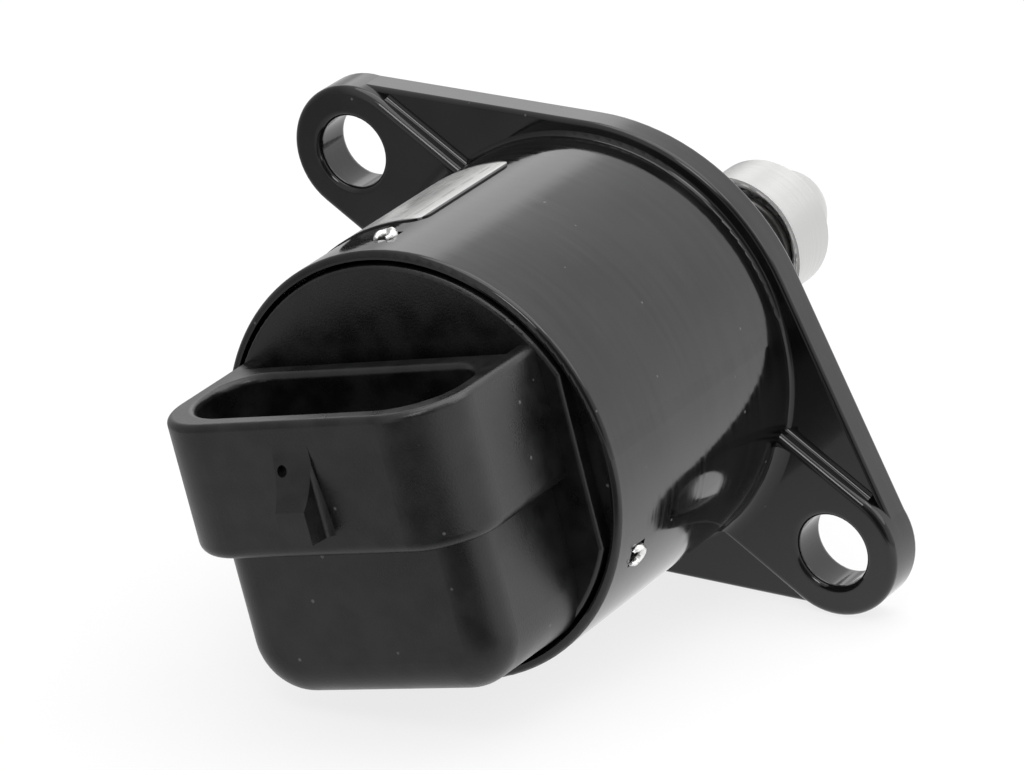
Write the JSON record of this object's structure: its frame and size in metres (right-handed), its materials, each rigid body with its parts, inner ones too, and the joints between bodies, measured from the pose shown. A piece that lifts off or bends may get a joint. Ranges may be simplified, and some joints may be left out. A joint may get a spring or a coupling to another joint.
{
  "type": "idle air control valve",
  "caption": "Stepper-driven idle air control valve: gloss black can with a two-lobed flange, a right-angle connector on its cap, and a sprung metal plug on a lead screw.",
  "frame": {"origin": "Centre of the mounting face, midway between the two flange holes, on the valve's axis.", "axes": "+Y runs along the valve's axis from the mounting face to the plug, +Z out of the connector's socket, and +X to the right as seen from the connector end."},
  "size_m": [0.0426, 0.0695, 0.0426],
  "materials": {
    "black_paint": "gloss black paint on a die-cast body",
    "black_plastic": "matte black moulding",
    "label_foil": "bare silver label foil",
    "tinned_brass": "tinned brass blades",
    "black_rubber": "moulded rubber seal",
    "stator_steel": "stamped sheet steel",
    "bobbin_plastic": "natural moulding",
    "copper_wire": "enamelled copper wire, wound",
    "bearing_steel": "ground bearing steel",
    "bronze": "sintered bronze",
    "nut_brass": "turned brass",
    "ferrite": "sintered magnet",
    "guide_plastic": "self-lubricating moulding",
    "screw_steel": "rolled steel screw",
    "spring_steel": "spring wire",
    "plug_metal": "fine turned metal"
  },
  "bodies": {
    "housing": {"housing": "black_paint", "end_cap": "black_plastic", "label": "label_foil", "terminal_1": "tinned_brass", "terminal_2": "tinned_brass", "terminal_3": "tinned_brass", "terminal_4": "tinned_brass", "o_ring": "black_rubber", "cap_seal": "black_rubber", "preload_ring": "black_rubber", "stator_cup_front": "stator_steel", "stator_plate_front": "stator_steel", "stator_plate_rear": "stator_steel", "stator_cup_rear": "stator_steel", "bobbin_front": "bobbin_plastic", "bobbin_rear": "bobbin_plastic", "winding_front": "copper_wire", "winding_rear": "copper_wire", "bearing_outer": "bearing_steel", "rear_bush": "bronze", "thrust_washer": "guide_plastic", "guide_bush": "guide_plastic", "spring": "spring_steel"},
    "rotor": {"rotor_nut": "nut_brass", "rotor_magnet": "ferrite", "bearing_inner": "bearing_steel", "bearing_balls": "bearing_steel", "bearing_cage": "stator_steel"},
    "pintle": {"lead_screw": "screw_steel", "plug": "plug_metal"}
  },
  "joints": [
    {"name": "rotor_spin", "type": "hinge", "parent": "housing", "child": "rotor", "pos_m": [0, 0, 0], "axis": [0, 1, 0], "range_deg": [0, 2880]},
    {"name": "pintle_slide", "type": "slide", "parent": "housing", "child": "pintle", "axis": [0, 1, 0], "range_m": [-0.008, 0], "deforming": ["spring"]}
  ],
  "couplings": [
    {"joint": "pintle_slide", "follows": "rotor_spin", "m_per_rad": -0.00015915}
  ]
}
